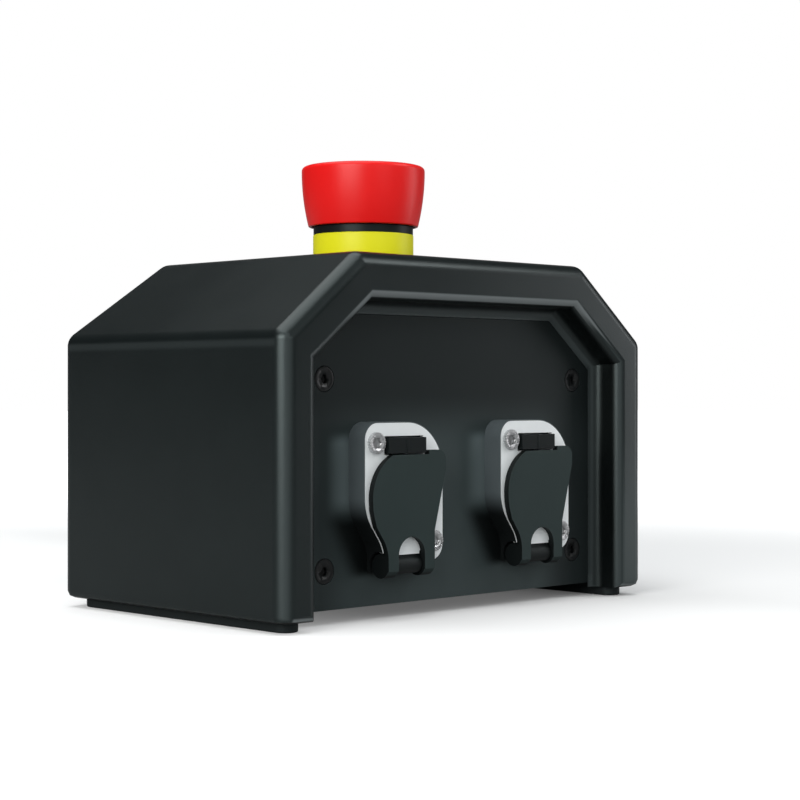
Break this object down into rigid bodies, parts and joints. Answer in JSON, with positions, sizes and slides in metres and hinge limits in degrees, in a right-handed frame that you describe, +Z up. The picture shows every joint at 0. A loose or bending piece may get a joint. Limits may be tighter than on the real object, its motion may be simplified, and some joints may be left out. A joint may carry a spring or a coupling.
{
  "type": "emergency stop switch",
  "caption": "Emergency stop box: bevelled black housing with a hooded front panel, a red mushroom head on a yellow collar, and cable sockets behind sprung hinged covers.",
  "frame": {"origin": "middle of the footprint, on the surface that the rubber skids rest on", "axes": "+Z up, the hood and the sockets face -Y, +X to the right seen from the front"},
  "size_m": [0.1292, 0.0866, 0.1144],
  "materials": {
    "housing": "black moulded housing with a fine, even grain, satin",
    "panel": "black anodised, fine satin",
    "base": "black powder coat",
    "black_steel": "black oxide",
    "brass": "turned brass",
    "steel": "zinc-plated steel",
    "skid_rubber": "matt rubber",
    "seal_rubber": "smooth black rubber",
    "red_head": "satin red moulding",
    "yellow_collar": "satin yellow moulding",
    "black_plastic": "moulded black plastic",
    "cover_plastic": "moulded dark grey plastic",
    "block_plastic": "moulded grey plastic",
    "plunger_plastic": "natural moulded plastic",
    "plate_metal": "satin nickel-plated die casting",
    "lead_red": "insulated stranded lead"
  },
  "bodies": {
    "housing": {"housing_shell": "housing", "front_panel": "panel", "panel_screws": "black_steel", "panel_inserts": "brass", "base_plate": "base", "base_screws": "black_steel", "base_inserts": "brass", "skid_left": "skid_rubber", "skid_right": "skid_rubber", "stop_barrel": "black_plastic", "yellow_collar": "yellow_collar", "collar_gasket": "seal_rubber", "anti_turn_washer": "steel", "lock_nut": "steel", "latch_ring": "steel", "return_spring": "steel", "block_holder": "black_plastic", "contact_block_1": "block_plastic", "contact_block_2": "block_plastic", "bridge_spring_1": "steel", "bridge_spring_2": "steel", "terminals_1": "brass", "terminals_2": "brass", "terminal_screws": "steel", "seal_frame_a": "seal_rubber", "seal_frame_b": "seal_rubber", "socket_shell_a": "plate_metal", "socket_shell_b": "plate_metal", "socket_insert_a": "black_plastic", "socket_insert_b": "black_plastic", "socket_contacts_a": "brass", "socket_contacts_b": "brass", "cover_spring_a": "steel", "cover_spring_b": "steel", "tab_spring_a": "steel", "tab_spring_b": "steel", "flange_screws_a": "steel", "flange_screws_b": "steel", "flange_nuts": "steel", "leads_a": "lead_red", "leads_b": "lead_red"},
    "head": {"stop_head": "red_head"},
    "plunger": {"plunger": "plunger_plastic"},
    "bridge_1": {"contact_bridge_1": "brass"},
    "bridge_2": {"contact_bridge_2": "brass"},
    "cover_a": {"socket_cover_a": "cover_plastic", "cover_seal_a": "seal_rubber", "hinge_pin_a": "steel"},
    "cover_b": {"socket_cover_b": "cover_plastic", "cover_seal_b": "seal_rubber", "hinge_pin_b": "steel"},
    "tab_a": {"push_tab_a": "black_plastic"},
    "tab_b": {"push_tab_b": "black_plastic"}
  },
  "joints": [
    {"name": "head_press", "type": "slide", "parent": "housing", "child": "plunger", "axis": [0, 0, -1], "range_m": [0, 0.004], "stiffness_N_per_m": 1500, "springref_m": -0.004, "deforming": ["return_spring"]},
    {"name": "head_twist", "type": "hinge", "parent": "plunger", "child": "head", "pos_m": [0, -0.0009, 0.1], "axis": [0, 0, -1], "range_deg": [0, 45], "stiffness_Nm_per_rad": 0.02},
    {"name": "bridge_1_lift", "type": "slide", "parent": "housing", "child": "bridge_1", "axis": [0, 0, -1], "range_m": [0, 0.0024], "deforming": ["bridge_spring_1"]},
    {"name": "bridge_2_lift", "type": "slide", "parent": "housing", "child": "bridge_2", "axis": [0, 0, -1], "range_m": [0, 0.0024], "deforming": ["bridge_spring_2"]},
    {"name": "cover_a_open", "type": "hinge", "parent": "housing", "child": "cover_a", "pos_m": [-0.0236, -0.0391, 0.0134], "axis": [1, 0, 0], "range_deg": [0, 105], "stiffness_Nm_per_rad": 0.004, "springref_deg": -34.38},
    {"name": "cover_b_open", "type": "hinge", "parent": "housing", "child": "cover_b", "pos_m": [0.0236, -0.0391, 0.0134], "axis": [1, 0, 0], "range_deg": [0, 105], "stiffness_Nm_per_rad": 0.004, "springref_deg": -34.38},
    {"name": "tab_a_push", "type": "slide", "parent": "housing", "child": "tab_a", "axis": [0, 1, 0], "range_m": [0, 0.0012], "stiffness_N_per_m": 600, "springref_m": -0.001, "deforming": ["tab_spring_a"]},
    {"name": "tab_b_push", "type": "slide", "parent": "housing", "child": "tab_b", "axis": [0, 1, 0], "range_m": [0, 0.0012], "stiffness_N_per_m": 600, "springref_m": -0.001, "deforming": ["tab_spring_b"]}
  ],
  "couplings": [
    {"joint": "bridge_1_lift", "follows": "head_press", "ratio": 0.6},
    {"joint": "bridge_2_lift", "follows": "head_press", "ratio": 0.6}
  ]
}
